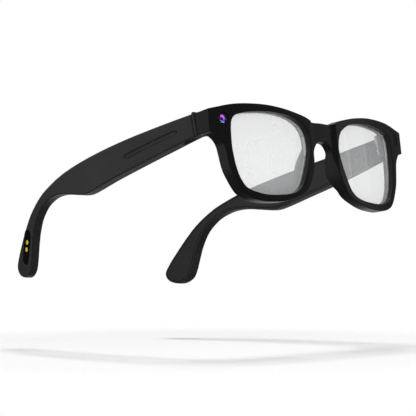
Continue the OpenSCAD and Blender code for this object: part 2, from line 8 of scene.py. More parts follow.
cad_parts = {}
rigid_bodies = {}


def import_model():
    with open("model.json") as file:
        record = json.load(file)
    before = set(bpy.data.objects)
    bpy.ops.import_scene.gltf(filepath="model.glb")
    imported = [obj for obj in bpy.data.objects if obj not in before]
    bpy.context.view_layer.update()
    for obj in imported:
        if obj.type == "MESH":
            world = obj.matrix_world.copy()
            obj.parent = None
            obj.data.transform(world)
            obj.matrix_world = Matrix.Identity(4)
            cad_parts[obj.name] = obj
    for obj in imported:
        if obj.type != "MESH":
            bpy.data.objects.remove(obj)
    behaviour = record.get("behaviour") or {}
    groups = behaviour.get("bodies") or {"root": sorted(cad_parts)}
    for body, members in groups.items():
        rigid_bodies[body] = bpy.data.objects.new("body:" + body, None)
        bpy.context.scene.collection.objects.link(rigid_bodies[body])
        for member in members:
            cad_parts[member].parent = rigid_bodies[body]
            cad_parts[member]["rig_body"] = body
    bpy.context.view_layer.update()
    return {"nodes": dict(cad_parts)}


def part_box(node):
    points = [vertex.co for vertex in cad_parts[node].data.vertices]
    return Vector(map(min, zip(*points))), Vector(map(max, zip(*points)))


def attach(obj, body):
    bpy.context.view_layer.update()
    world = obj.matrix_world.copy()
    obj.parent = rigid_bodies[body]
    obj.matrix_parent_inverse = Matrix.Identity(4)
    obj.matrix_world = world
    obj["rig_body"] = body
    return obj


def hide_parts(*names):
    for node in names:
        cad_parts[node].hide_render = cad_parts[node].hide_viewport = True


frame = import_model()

bl_info = {
    "name": "Camera Smart Glasses",
    "version": (1, 0, 0),
    "blender": (4, 5, 0),
    "location": "View3D > Sidebar > Glasses",
    "description": "Dresses the glasses' CAD frame with rounded shells, clear lenses and moulded finishes",
    "category": "Object",
}

MM = 0.001
NODES = frame["nodes"]


# ---- Sizes and colours a user would change ----

class GlassesSizes(bpy.types.PropertyGroup):
    front_round: bpy.props.FloatProperty(
        name="Front edge rounding", description="Radius of the front's outer and lens edges",
        default=0.42 * MM, min=0.05 * MM, max=1 * MM, unit="LENGTH", precision=5)
    temple_round: bpy.props.FloatProperty(
        name="Temple edge rounding", description="Radius of the temples' long edges",
        default=0.75 * MM, min=0.1 * MM, max=1.5 * MM, unit="LENGTH", precision=5)
    small_round: bpy.props.FloatProperty(
        name="Small edge rounding", description="Radius on covers, gaskets, hinges and buttons",
        default=0.18 * MM, min=0.02 * MM, max=0.4 * MM, unit="LENGTH", precision=5)


class GlassesColours(bpy.types.PropertyGroup):
    front: bpy.props.FloatVectorProperty(
        name="Front", description="Colour of the polished front", subtype="COLOR",
        default=(0.005, 0.005, 0.0055), min=0, max=1)
    temple: bpy.props.FloatVectorProperty(
        name="Temples", description="Colour of the satin temples", subtype="COLOR",
        default=(0.014, 0.014, 0.015), min=0, max=1)
    # The lens colour is a painted reflection veil: a pale lit sheet that stands in for the studio's reflection
    # in the lenses
    lens: bpy.props.FloatVectorProperty(
        name="Lens haze", description="Colour that the lenses' coating adds", subtype="COLOR",
        default=(0.9, 0.91, 0.92), min=0, max=1)
    gold: bpy.props.FloatVectorProperty(
        name="Contacts", description="Colour of the charging contacts' plating", subtype="COLOR",
        default=(1, 0.86, 0.02), min=0, max=1)
    steel: bpy.props.FloatVectorProperty(
        name="Hinge steel", description="Colour of the hinges and pins", subtype="COLOR",
        default=(0.62, 0.61, 0.59), min=0, max=1)
    floor: bpy.props.FloatVectorProperty(
        name="Floor", description="Colour of the floor", subtype="COLOR",
        default=(0.9, 0.9, 0.9), min=0, max=1)


def sizes():
    return bpy.context.scene.glasses_sizes


def colours():
    return bpy.context.scene.glasses_colours


# ---- Shapes ----

def merged(*names):
    """A bmesh of CAD nodes with their loose triangles joined and flat areas made whole."""
    bm = bmesh.new()
    for name in names:
        bm.from_mesh(NODES[name].data)
    bmesh.ops.remove_doubles(bm, verts=bm.verts[:], dist=2e-6)
    bmesh.ops.dissolve_limit(bm, angle_limit=math.radians(0.4), verts=bm.verts[:], edges=bm.edges[:])
    return bm


def reach(face, edge):
    """How far a face extends from one of its edges."""
    a, b = (v.co for v in edge.verts)
    along = (b - a).normalized()
    return max(((v.co - a) - along * (v.co - a).dot(along)).length for v in face.verts)


def weigh_edges(bm, width, sharp=26, share=0.4):
    """Marks each sharp edge with the rounding it gets, never more than its faces have room for."""
    layer = bm.edges.layers.float.new("bevel_weight_edge")
    for edge in bm.edges:
        if len(edge.link_faces) == 2 and edge.calc_face_angle(0) > math.radians(sharp):
            room = min(reach(face, edge) for face in edge.link_faces) * share
            edge[layer] = min(width, room) / width


def make_piece(name, bm, body, nodes, material, width, segments=3):
    """Turns a bmesh into a finished piece that rides on a body and stands for CAD nodes."""
    for face in bm.faces:
        face.smooth = True
    mesh = bpy.data.meshes.new(name)
    bm.to_mesh(mesh)
    bm.free()
    made = bpy.data.objects.new(name, mesh)
    bpy.context.scene.collection.objects.link(made)
    if width:
        rounding = made.modifiers.new("Rounded edges", "BEVEL")
        rounding.limit_method = "WEIGHT"
        rounding.width = width
        rounding.segments = segments
        rounding.profile = 0.5
        rounding.use_clamp_overlap = False
        rounding.miter_outer = "MITER_SHARP"
    smooth = made.modifiers.new("Even shading", "WEIGHTED_NORMAL")
    smooth.weight = 80
    smooth.keep_sharp = True
    mesh.materials.append(material)
    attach(made, body)
    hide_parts(*nodes)
    return made


# ---- Outlines ----

def between(a, b, c, d, t):
    """A point on the smooth curve from b to c."""
    square, cube = 2 * a - 5 * b + 4 * c - d, 3 * b - a - 3 * c + d
    return 0.5 * (2 * b + (c - a) * t + square * t * t + cube * t ** 3)


def curve(knots, steps):
    """A smooth open curve through knots."""
    last = len(knots) - 1
    return [between(knots[max(i - 1, 0)], knots[i], knots[i + 1], knots[min(i + 2, last)], j / steps)
            for i in range(last) for j in range(steps)] + [knots[last]]


def closed_curve(knots, steps):
    """A smooth closed curve through knots."""
    n = len(knots)
    return [between(knots[i - 1], knots[i], knots[(i + 1) % n], knots[(i + 2) % n], j / steps)
            for i in range(n) for j in range(steps)]


def grown(loop, width):
    """An anticlockwise loop moved outwards."""
    moved = []
    for i, point in enumerate(loop):
        a = (point - loop[i - 1]).normalized()
        b = (loop[(i + 1) % len(loop)] - point).normalized()
        middle = (a + b).normalized()
        moved.append(point + Vector((middle.y, -middle.x)) * width / max(0.6, middle.dot(a)))
    return moved


# ---- Front, laid out flat and then bent round the face ----

LENS_KNOTS = (
    (0.5, 0.13), (0.478, 0.375), (0.36, 0.462), (0.096, 0.5), (-0.13, 0.492), (-0.306, 0.448), (-0.447, 0.341),
    (-0.5, 0.17), (-0.478, -0.01), (-0.383, -0.297), (-0.3, -0.418), (-0.165, -0.478), (0.05, -0.5),
    (0.2, -0.488), (0.357, -0.43), (0.43, -0.32), (0.468, -0.194), (0.492, -0.03))
TOP_KNOTS = (
    (0.437, 0.46), (0.317, 0.479), (0.18, 0.487), (0.026, 0.485), (-0.144, 0.464), (-0.281, 0.434), (-0.4, 0.4))
RIM_KNOTS = (
    (-0.512, 0.09), (-0.49, 0.003), (-0.444, -0.172), (-0.39, -0.3), (-0.33, -0.375), (-0.2, -0.438),
    (-0.076, -0.474), (0.06, -0.486), (0.16, -0.484), (0.27, -0.458), (0.36, -0.395), (0.43, -0.268),
    (0.471, -0.155), (0.493, -0.02), (0.512, 0.07), (0.56, 0.15))

# Fixed places on the front, in millimetres about the bridge: x to the wearer's left, y back, z up
LENS = Vector((36.4, 0.6))
LENS_W, LENS_H, RIM_W, RIM_T = 50.6, 39, 4, 5.6
HALF_W, END_TOP, END_BOTTOM, CORNER_LOW = 73.5, 20.5, 10.1, 9.05
ARCH, BRIDGE_TOP, BRIDGE_W, BRIDGE_STEP = 8.5, 17.5, 22.2, 1.4
WRAP, LEAN = 325, math.radians(6.4)
BOW_X, BOW_Y, BOW_R = -235.481, 50, 312
EYE, EYE_R = Vector((65.6, 15.4)), 3.2
HINGE_Y, HINGE_X, PLATE_X = 12.25, 67.9, 61.75
JOINT_Y = 14.2
LENS_IN, LENS_T = 2.8, 1.9
# The end piece's two steps behind the outer part, where the hinge seat ends below, and the camera's recess
STEP, SEAT_LOW, RECESS = 1.2, 8.6, 1.6
PLATE_TURN = 29
PLATE_AT = (144.773, -8.188)
PAD, PAD_R, PAD_REACH, NOSE_END = Vector((12.1, -4.4)), 13.6, 3.4, 25.5
# From the bridge's origin to the row's, in millimetres
TO_ROW = Vector((0, -77.797, 21.8755))
# Profiles of the turned pieces: radius and depth in millimetres, from their own face inwards
BEZEL = (
    (3.12, 0.5), (3.05, 0.38), (2.95, 0.35), (2.88, 0.38), (2.36, 0.9), (2.33, 1.0), (2.33, 1.5), (3.12, 1.5))
COVER_GLASS = ((0, 0.88), (0.9, 0.89), (1.7, 0.92), (2.2, 0.97), (2.28, 1.03), (2.28, 1.25), (0, 1.25))
BARREL = (
    (0, 2.5), (0.4, 2.3), (0.5, 1.95), (0.55, 1.7), (0.65, 1.56), (1.4, 1.54), (1.95, 1.52), (2.06, 1.58),
    (2.1, 1.7), (2.1, 4.2), (0, 4.2))
IRIS = ((0.75, 1.46), (0.82, 1.36), (1.2, 1.3), (1.6, 1.28), (1.8, 1.31), (1.86, 1.38), (1.3, 1.5))
INDICATOR = (
    (0, 0.3), (1.6, 0.3), (2.6, 0.27), (2.95, 0.26), (3.08, 0.34), (3.12, 0.5), (3.12, 1.5), (0, 1.5))
CONTACT = (
    (0, 0.1), (0.5, 0.09), (0.85, 0.05), (1.05, -0.02), (1.13, -0.14), (1.15, -0.3), (1.15, -2.3), (0, -2.3))


def face_y(x):
    """How far back the front's face is at x."""
    return WRAP - math.sqrt(WRAP * WRAP - x * x)


def outer_x(y):
    """How far out the temples' outer face is at y."""
    return BOW_X + math.sqrt(BOW_R ** 2 - (y - BOW_Y) ** 2)


def on_rim(knot):
    """A rim knot's place on the front."""
    return LENS + Vector((knot[0] * (LENS_W + 2 * RIM_W), knot[1] * (LENS_H + 2 * RIM_W)))


def front_outlines():
    """The lens opening's loop and the lower and upper edges of one half of the front."""
    lens = closed_curve([LENS + Vector((k[0] * LENS_W, k[1] * LENS_H)) for k in LENS_KNOTS], 5)
    low = curve([Vector((0, ARCH)), Vector((BRIDGE_W / 6, ARCH - 0.7))] + [on_rim(k) for k in RIM_KNOTS]
                + [Vector((71.6, 8.95))], 5) + [Vector((HALF_W + 0.2, CORNER_LOW))]
    top = curve([Vector((HALF_W, END_TOP - 0.6))] + [on_rim(k) for k in TOP_KNOTS]
                + [Vector((BRIDGE_W / 3, BRIDGE_TOP)), Vector((0, BRIDGE_TOP))], 5)
    return lens, low, top


def ease(low, high, value):
    """0 below low, 1 above high, and smooth between them."""
    t = min(1, max(0, (value - low) / (high - low)))
    return t * t * (3 - 2 * t)


def flat_region(bm, outline, holes):
    """Fills a flat outline round its holes, in the x and z plane, and returns each hole's edges."""
    rings = []
    for loop in [outline, *holes]:
        verts = [bm.verts.new((p.x, 0, p.y)) for p in loop]
        rings.append([bm.edges.new(pair) for pair in zip(verts, verts[1:] + verts[:1])])
    edges = [edge for ring in rings for edge in ring]
    bmesh.ops.triangle_fill(bm, use_beauty=True, edges=edges, normal=(0, -1, 0))
    bmesh.ops.dissolve_limit(bm, angle_limit=0.001, verts=bm.verts[:], edges=bm.edges[:])
    return rings[1:]


def within(faces):
    """The faces with their edges and corners, as an operator takes them."""
    return list({part for face in faces for part in (face, *face.edges, *face.verts)})


def drawn_out(bm, faces, move, sheet=False):
    """Extrudes faces by a move and returns the new end faces. Only a sheet keeps the faces it starts from."""
    made = bmesh.ops.extrude_face_region(bm, geom=faces)["geom"]
    if not sheet:
        bmesh.ops.delete(bm, geom=faces, context="FACES_ONLY")
    bmesh.ops.translate(bm, verts=[v for v in made if isinstance(v, bmesh.types.BMVert)], vec=move)
    return [f for f in made if isinstance(f, bmesh.types.BMFace)]


def cut_across(bm, faces, place, normal):
    """Cuts faces with a plane, so that they can bend there."""
    bmesh.ops.bisect_plane(bm, geom=within(faces), dist=1e-4, plane_co=place, plane_no=normal)


def round_off(bm, width, where, segments=3, sharp=30):
    """Rounds the outward edges sharper than an angle that where() accepts."""
    bm.normal_update()
    chosen = [e for e in bm.edges if len(e.link_faces) == 2
              and e.calc_face_angle_signed(0) > math.radians(sharp) and where(e)]
    bmesh.ops.bevel(bm, geom=chosen, offset=width, offset_type="OFFSET", segments=segments, profile=0.5,
                    affect="EDGES", clamp_overlap=False, material=-1, loop_slide=True)


def half_front():
    """One half of the front, flat, in millimetres, with y as the depth behind its face."""
    lens, low, top = front_outlines()
    holes = [lens, [EYE + EYE_R * Vector((math.cos(a) * 0.98, math.sin(a)))
                         for a in (math.tau * i / 40 for i in range(40))]]
    bm = bmesh.new()
    rings = flat_region(bm, low + top, holes)
    bmesh.ops.contextual_create(bm, geom=rings[1])
    bmesh.ops.recalc_face_normals(bm, faces=bm.faces[:])
    drawn_out(bm, bm.faces[:], (0, RIM_T, 0), sheet=True)
    bmesh.ops.recalc_face_normals(bm, faces=bm.faces[:])
    # The end piece stands behind the outer part, in two steps: the hinge's seat and the temple joint
    def back(low_x, depth):
        return [f for f in bm.faces if all(abs(v.co.y - depth) < 1e-3 for v in f.verts)
                and f.calc_center_median().x > low_x]
    for place, normal in (((PLATE_X, 0, 0), (1, 0, 0)), ((HINGE_X, 0, 0), (1, 0, 0)),
                          ((0, 0, SEAT_LOW), (0, 0, 1))):
        cut_across(bm, back(0, RIM_T), place, normal)
    seat = [f for f in back(PLATE_X, RIM_T) if f.calc_center_median().z > SEAT_LOW]
    seat = drawn_out(bm, seat, (0, STEP, 0))
    end = [f for f in seat if f.calc_center_median().x > HINGE_X]
    drawn_out(bm, end, (0, STEP, 0))
    # The camera's and the indicator's recess
    floor = [f for f in bm.faces
             if all(abs(v.co.y) < 1e-3 and (v.co.xz - EYE).length < EYE_R + 0.1 for v in f.verts)]
    drawn_out(bm, floor, (-RECESS * math.tan(math.asin(EYE.x / WRAP)), RECESS, 0))
    middle = [f for f in bm.faces if all(abs(v.co.x) < 1e-3 for v in f.verts)]
    bmesh.ops.delete(bm, geom=middle, context="FACES")
    return bm


def bend_front(bm):
    """Carries the flat half front onto the face: step of the bridge, nose pad, wrap, lean and outer end."""
    _, _, top = front_outlines()
    def top_at(x):
        for a, b in zip(top, top[1:]):
            if b.x <= x <= a.x:
                return b.y + (a.y - b.y) * (x - b.x) / max(1e-6, a.x - b.x)
        return top[0].y if x > top[0].x else BRIDGE_TOP
    sin, cos = math.sin(LEAN), math.cos(LEAN)
    corner = face_y(HALF_W) - sin * EYE.y
    for vert in bm.verts:
        x, depth, z = vert.co
        slab = min(depth, RIM_T)
        # Bridge, stepped back from the rims
        step = BRIDGE_STEP * (1 - ease(7, 9.6, x)) * (1 - slab / RIM_T)
        # Nose pad, raised out of the rim's back
        spread = math.hypot(x - PAD.x, z - PAD.y)
        raised = PAD_REACH - PAD_R + math.sqrt(max(0, PAD_R ** 2 - spread ** 2)) if spread < PAD_R else -20
        soft = 0.8
        raised = (raised + math.sqrt(raised * raised + soft * soft)) / 2
        raised *= (x < 40) * ease(0.5, 0.9, slab / RIM_T)
        reach = slab + step + raised
        y = WRAP - math.sqrt((WRAP - reach) ** 2 - x * x) if reach < WRAP else 0
        place_y, place_z = cos * y - sin * z, sin * y + cos * z
        face = face_y(x)
        face_place_y, face_place_z = cos * face - sin * z, sin * face + cos * z
        if depth > RIM_T:
            seat = max(HINGE_Y, place_y + 0.15)
            if depth <= RIM_T + STEP:
                place_y += (seat - place_y) * (depth - RIM_T) / STEP
            else:
                place_y = seat + (JOINT_Y - seat) * (depth - RIM_T - STEP) / STEP
        # The end piece's upper and lower edges level off towards the temple joint
        along = min(1, max(0, (place_y - face_place_y) / (JOINT_Y - face_place_y)))
        edge_low = sin * face + cos * CORNER_LOW
        edge_top = sin * face + cos * top_at(min(x, HALF_W))
        share = (face_place_z - edge_low) / (edge_top - edge_low)
        level = face_place_z + along * (END_BOTTOM + share * (END_TOP - END_BOTTOM) - face_place_z)
        level_share = ease(65.5, 69.5, x) if z < 12 else ease(61, 67, x) if depth > RIM_T else ease(64, 70, x)
        place_z += (level - place_z) * level_share
        x += (outer_x(place_y) - HALF_W) * min(1, max(0, (x - 68) / (HALF_W - 68))) * (place_y > corner)
        vert.co = (Vector((x, place_y, place_z)) + TO_ROW) * MM


def lathe(profile, place, steps=48):
    """Spins a profile of (radius, height) points about z and puts it in place."""
    bm = bmesh.new()
    verts = [bm.verts.new((r, 0, z)) for r, z in profile]
    edges = [bm.edges.new(pair) for pair in zip(verts, verts[1:])]
    if profile[0][0] > 0:
        edges.append(bm.edges.new((verts[-1], verts[0])))
    bmesh.ops.spin(bm, geom=verts + edges, cent=(0, 0, 0), axis=(0, 0, 1), angle=math.tau, steps=steps,
                   use_merge=True, use_duplicate=False)
    bmesh.ops.remove_doubles(bm, verts=bm.verts[:], dist=1e-4)
    bmesh.ops.transform(bm, matrix=place, verts=bm.verts[:])
    bmesh.ops.recalc_face_normals(bm, faces=bm.faces[:])
    return bm


def turned(degrees, axis):
    """A turn about an axis."""
    return Matrix.Rotation(math.radians(degrees), 4, axis)


def eye_place(side):
    """The camera's frame, whose z points into the front, in the row's metres."""
    face = Matrix.Translation(TO_ROW) @ Matrix.Rotation(LEAN, 4, "X")
    eye = Matrix.Translation((EYE.x, face_y(EYE.x), EYE.y))
    turn = Matrix.Rotation(math.asin(EYE.x / WRAP), 4, "Z")
    return Matrix.Diagonal((side * MM, MM, MM, 1)) @ face @ eye @ turn @ turned(-90, "X")


def plate_place():
    """The charging plate's frame, whose z points out of the wearer's right temple, in the row's metres."""
    y, z = PLATE_AT
    phi = math.asin((y - BOW_Y) / BOW_R)
    return (Matrix.Diagonal((-MM, MM, MM, 1)) @ Matrix.Translation(TO_ROW + Vector((outer_x(y), y, z)))
            @ Matrix.Rotation(phi, 4, "Z") @ turned(90, "Y") @ turned(PLATE_TURN, "Z"))


def make_front(width):
    """The whole front, bent round the face, with its edges rounded by a width in millimetres."""
    bm = half_front()
    inner = EYE_R + 0.3
    def on_recess(e):
        middle = (e.verts[0].co + e.verts[1].co) / 2
        return middle.y < 2 and (middle.xz - EYE).length < inner
    def main_edge(e):
        middle = (e.verts[0].co + e.verts[1].co) / 2
        return not on_recess(e) and middle.x > 0.05
    round_off(bm, width, main_edge)
    round_off(bm, 0.12, on_recess, segments=2)
    # Wide cuts let the front bend, and close ones round the nose let the pad and the bridge rise smoothly
    def nose_faces():
        return [f for f in bm.faces if f.calc_center_median().x < NOSE_END]
    for i in range(1, 30):
        cut_across(bm, bm.faces[:], (i * 2.5, 0, 0), (1, 0, 0))
    for i in range(21):
        cut_across(bm, nose_faces(), (i + 4.25, 0, 0), (1, 0, 0))
    for i in range(28):
        cut_across(bm, nose_faces(), (0, 0, i * 1.2 - 18), (0, 0, 1))
    bmesh.ops.remove_doubles(bm, verts=bm.verts[:], dist=0.01)
    bend_front(bm)
    bmesh.ops.mirror(bm, geom=bm.verts[:] + bm.edges[:] + bm.faces[:], axis="X", merge_dist=2e-6)
    bmesh.ops.remove_doubles(bm, verts=bm.verts[:], dist=2e-6)
    bmesh.ops.recalc_face_normals(bm, faces=bm.faces[:])
    return bm


def make_lens(side):
    """A lens with smooth curved faces, just inside its opening."""
    lens, _, _ = front_outlines()
    bm = bmesh.new()
    flat_region(bm, grown(lens, -0.04), [])
    drawn_out(bm, bm.faces[:], (0, LENS_T, 0), sheet=True)
    bmesh.ops.translate(bm, verts=bm.verts[:], vec=(0, LENS_IN, 0))
    bmesh.ops.recalc_face_normals(bm, faces=bm.faces[:])
    for x in range(10, 64, 2):
        cut_across(bm, bm.faces[:], (x, 0, 0), (1, 0, 0))
    sin, cos = math.sin(LEAN), math.cos(LEAN)
    for vert in bm.verts:
        x, depth, z = vert.co
        y = WRAP - math.sqrt((WRAP - depth) ** 2 - x * x)
        vert.co = (Vector((x, cos * y - sin * z, sin * y + cos * z)) + TO_ROW) * MM
        vert.co.x *= side
    bmesh.ops.recalc_face_normals(bm, faces=bm.faces[:])
    return bm


# ---- Materials ----

def socket(group, name, way, kind="NodeSocketFloat", value=None):
    """Adds a socket to a node group."""
    made = group.interface.new_socket(name=name, in_out=way, socket_type=kind)
    if value is not None:
        made.default_value = value
    return made


def moulded_grain():
    """Node group: fine moulding grain with soft cloudy variation."""
    if "Moulded grain" in bpy.data.node_groups:
        return bpy.data.node_groups["Moulded grain"]
    group = bpy.data.node_groups.new("Moulded grain", "ShaderNodeTree")
    socket(group, "Grain size", "INPUT", value=9000)
    socket(group, "Cloud size", "INPUT", value=60)
    socket(group, "Roughness", "INPUT", value=0.4)
    socket(group, "Spread", "INPUT", value=0.08)
    socket(group, "Colour", "INPUT", "NodeSocketColor", (0.02, 0.02, 0.02, 1))
    socket(group, "Lighter", "INPUT", value=1.4)
    socket(group, "Colour", "OUTPUT", "NodeSocketColor")
    socket(group, "Roughness", "OUTPUT")
    socket(group, "Height", "OUTPUT")
    nodes, link = group.nodes, group.links.new
    given, out = nodes.new("NodeGroupInput"), nodes.new("NodeGroupOutput")
    place = nodes.new("ShaderNodeTexCoord")
    grain, cloud = nodes.new("ShaderNodeTexNoise"), nodes.new("ShaderNodeTexNoise")
    for texture, size in ((grain, "Grain size"), (cloud, "Cloud size")):
        link(place.outputs["Object"], texture.inputs["Vector"])
        link(given.outputs[size], texture.inputs["Scale"])
    grain.inputs["Detail"].default_value = 2
    cloud.inputs["Detail"].default_value = 4
    rough = nodes.new("ShaderNodeMapRange")
    low, high = nodes.new("ShaderNodeMath"), nodes.new("ShaderNodeMath")
    low.operation, high.operation = "SUBTRACT", "ADD"
    for edge, side in ((low, "To Min"), (high, "To Max")):
        link(given.outputs["Roughness"], edge.inputs[0])
        link(given.outputs["Spread"], edge.inputs[1])
        link(edge.outputs[0], rough.inputs[side])
    rough.inputs["From Min"].default_value = 0.3
    rough.inputs["From Max"].default_value = 0.7
    link(cloud.outputs["Fac"], rough.inputs["Value"])
    link(rough.outputs[0], out.inputs["Roughness"])
    lift = nodes.new("ShaderNodeMapRange")
    lift.inputs["From Min"].default_value = 0.35
    lift.inputs["From Max"].default_value = 0.7
    lift.inputs["To Min"].default_value = 1
    link(given.outputs["Lighter"], lift.inputs["To Max"])
    link(grain.outputs["Fac"], lift.inputs["Value"])
    tone = nodes.new("ShaderNodeVectorMath")
    tone.operation = "SCALE"
    link(given.outputs["Colour"], tone.inputs[0])
    link(lift.outputs[0], tone.inputs["Scale"])
    link(tone.outputs[0], out.inputs["Colour"])
    link(grain.outputs["Fac"], out.inputs["Height"])
    return group


def new_material(name):
    """An empty node material and its shader."""
    made = bpy.data.materials.new(name)
    made.use_nodes = True
    nodes = made.node_tree.nodes
    nodes.clear()
    shader = nodes.new("ShaderNodeBsdfPrincipled")
    out = nodes.new("ShaderNodeOutputMaterial")
    made.node_tree.links.new(shader.outputs["BSDF"], out.inputs["Surface"])
    return made, shader


def plastic(name, colour, roughness, spread=0.05, grain=9000, bump=0.1, depth=2e-6, lighter=1.3, metallic=0,
            specular=0.5, coat=0):
    """Moulded plastic, or cast metal where metallic is 1."""
    made, shader = new_material(name)
    nodes, link = made.node_tree.nodes, made.node_tree.links.new
    texture = nodes.new("ShaderNodeGroup")
    texture.node_tree = moulded_grain()
    texture.inputs["Colour"].default_value = (*colour, 1)
    texture.inputs["Roughness"].default_value = roughness
    texture.inputs["Spread"].default_value = spread
    texture.inputs["Grain size"].default_value = grain
    texture.inputs["Lighter"].default_value = lighter
    link(texture.outputs["Colour"], shader.inputs["Base Color"])
    link(texture.outputs["Roughness"], shader.inputs["Roughness"])
    relief = nodes.new("ShaderNodeBump")
    relief.inputs["Strength"].default_value = bump
    relief.inputs["Distance"].default_value = depth
    link(texture.outputs["Height"], relief.inputs["Height"])
    link(relief.outputs["Normal"], shader.inputs["Normal"])
    shader.inputs["Metallic"].default_value = metallic
    shader.inputs["Specular IOR Level"].default_value = specular
    shader.inputs["Coat Weight"].default_value = coat
    return made


def dress(node, material):
    """Gives a CAD node its material."""
    mesh = NODES[node].data
    mesh.materials.clear()
    mesh.materials.append(material)


def woven(name, colour):
    """Fine acoustic mesh."""
    made, shader = new_material(name)
    nodes, link = made.node_tree.nodes, made.node_tree.links.new
    place, threads = nodes.new("ShaderNodeTexCoord"), nodes.new("ShaderNodeTexVoronoi")
    threads.inputs["Scale"].default_value = 4500
    threads.inputs["Randomness"].default_value = 0
    link(place.outputs["Object"], threads.inputs["Vector"])
    ramp = nodes.new("ShaderNodeValToRGB")
    ramp.color_ramp.elements[0].position = 0.3
    ramp.color_ramp.elements[0].color = (0.001, 0.001, 0.001, 1)
    ramp.color_ramp.elements[1].position = 0.45
    ramp.color_ramp.elements[1].color = (*colour, 1)
    link(threads.outputs["Distance"], ramp.inputs["Fac"])
    link(ramp.outputs["Color"], shader.inputs["Base Color"])
    relief = nodes.new("ShaderNodeBump")
    relief.inputs["Strength"].default_value = 0.6
    relief.inputs["Distance"].default_value = 3e-5
    link(threads.outputs["Distance"], relief.inputs["Height"])
    link(relief.outputs["Normal"], shader.inputs["Normal"])
    shader.inputs["Roughness"].default_value = 0.6
    return made


def lens_with_painted_veil(name, painted_veil):
    """Clear lens with a pale painted veil that stands in for the studio's reflection, and a pale ground edge.
    """
    made, shader = new_material(name)
    nodes, link = made.node_tree.nodes, made.node_tree.links.new
    place, streaks = nodes.new("ShaderNodeTexCoord"), nodes.new("ShaderNodeTexNoise")
    streaks.inputs["Scale"].default_value = 35
    link(place.outputs["Object"], streaks.inputs["Vector"])
    amount = nodes.new("ShaderNodeMapRange")
    amount.inputs["To Min"].default_value = 0.28
    amount.inputs["To Max"].default_value = 0.32
    link(streaks.outputs["Fac"], amount.inputs["Value"])
    # The ground edge faces away from the lens's depth
    apart, depth = nodes.new("ShaderNodeSeparateXYZ"), nodes.new("ShaderNodeMath")
    edge = nodes.new("ShaderNodeMapRange")
    link(place.outputs["Normal"], apart.inputs[0])
    depth.operation = "ABSOLUTE"
    link(apart.outputs["Y"], depth.inputs[0])
    for side, value in (("From Min", 0.5), ("From Max", 0.8), ("To Min", 0.9), ("To Max", 0)):
        edge.inputs[side].default_value = value
    link(depth.outputs[0], edge.inputs["Value"])
    whole = nodes.new("ShaderNodeMath")
    whole.operation = "MAXIMUM"
    link(edge.outputs[0], whole.inputs[0])
    link(amount.outputs[0], whole.inputs[1])
    link(whole.outputs[0], shader.inputs["Alpha"])
    # Painted reflection: the pale veil's colour and its partial alpha stand in for the studio light that the
    # lenses reflect
    tint = nodes.new("ShaderNodeValToRGB")
    for element, share in zip(tint.color_ramp.elements, (0.97, 1)):
        element.color = (*(share * c for c in painted_veil), 1)
    link(streaks.outputs["Fac"], tint.inputs["Fac"])
    link(tint.outputs["Color"], shader.inputs["Base Color"])
    shader.inputs["Roughness"].default_value = 0.04
    shader.inputs["IOR"].default_value = 1.6
    shader.inputs["Coat Weight"].default_value = 0.6
    return made


def iris_painted_glow(name):
    """The camera lens's coating colours, a painted reflection that runs round the iris and glows by emission.
    """
    made, shader = new_material(name)
    nodes, link = made.node_tree.nodes, made.node_tree.links.new
    place, centred = nodes.new("ShaderNodeTexCoord"), nodes.new("ShaderNodeMapping")
    round_about = nodes.new("ShaderNodeTexGradient")
    low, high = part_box("camera_barrel")
    middle = (low + high) / 2
    centred.vector_type = "TEXTURE"
    centred.inputs["Location"].default_value = middle
    centred.inputs["Rotation"].default_value = (math.radians(-90), 0, math.radians(-12))
    round_about.gradient_type = "RADIAL"
    link(place.outputs["Object"], centred.inputs["Vector"])
    link(centred.outputs[0], round_about.inputs["Vector"])
    ramp = nodes.new("ShaderNodeValToRGB")
    ramp.color_ramp.interpolation = "EASE"
    stops = ((0, (0.2, 0.07, 1)), (0.12, (0.4, 0.05, 0.95)), (0.36, (0.8, 0.1, 0.85)), (0.5, (0.25, 0.03, 0.7)),
             (0.62, (0.02, 0.03, 0.35)), (0.75, (0.01, 0.4, 1)), (0.88, (0.02, 0.55, 1)), (1, (0.2, 0.07, 1)))
    for _ in range(len(stops) - 2):
        ramp.color_ramp.elements.new(0.5)
    for element, (position, colour) in zip(ramp.color_ramp.elements, stops):
        element.position = position
        element.color = (*colour, 1)
    # Painted reflection and glow: the coating's colours round the iris are painted in, and they glow by
    # emission though the iris is no lamp
    link(round_about.outputs["Color"], ramp.inputs["Fac"])
    link(ramp.outputs["Color"], shader.inputs["Base Color"])
    link(ramp.outputs["Color"], shader.inputs["Emission Color"])
    shader.inputs["Emission Strength"].default_value = 0.9
    shader.inputs["Roughness"].default_value = 0.15
    return made


def clear_glass(name, colour):
    """Polished glass with faint variation in its finish."""
    made, shader = new_material(name)
    nodes, link = made.node_tree.nodes, made.node_tree.links.new
    texture = nodes.new("ShaderNodeGroup")
    texture.node_tree = moulded_grain()
    texture.inputs["Colour"].default_value = (*colour, 1)
    texture.inputs["Roughness"].default_value = 0.02
    texture.inputs["Spread"].default_value = 0.015
    texture.inputs["Cloud size"].default_value = 900
    texture.inputs["Lighter"].default_value = 1.0
    link(texture.outputs["Colour"], shader.inputs["Base Color"])
    link(texture.outputs["Roughness"], shader.inputs["Roughness"])
    shader.inputs["Transmission Weight"].default_value = 1
    shader.inputs["IOR"].default_value = 1.45
    return made


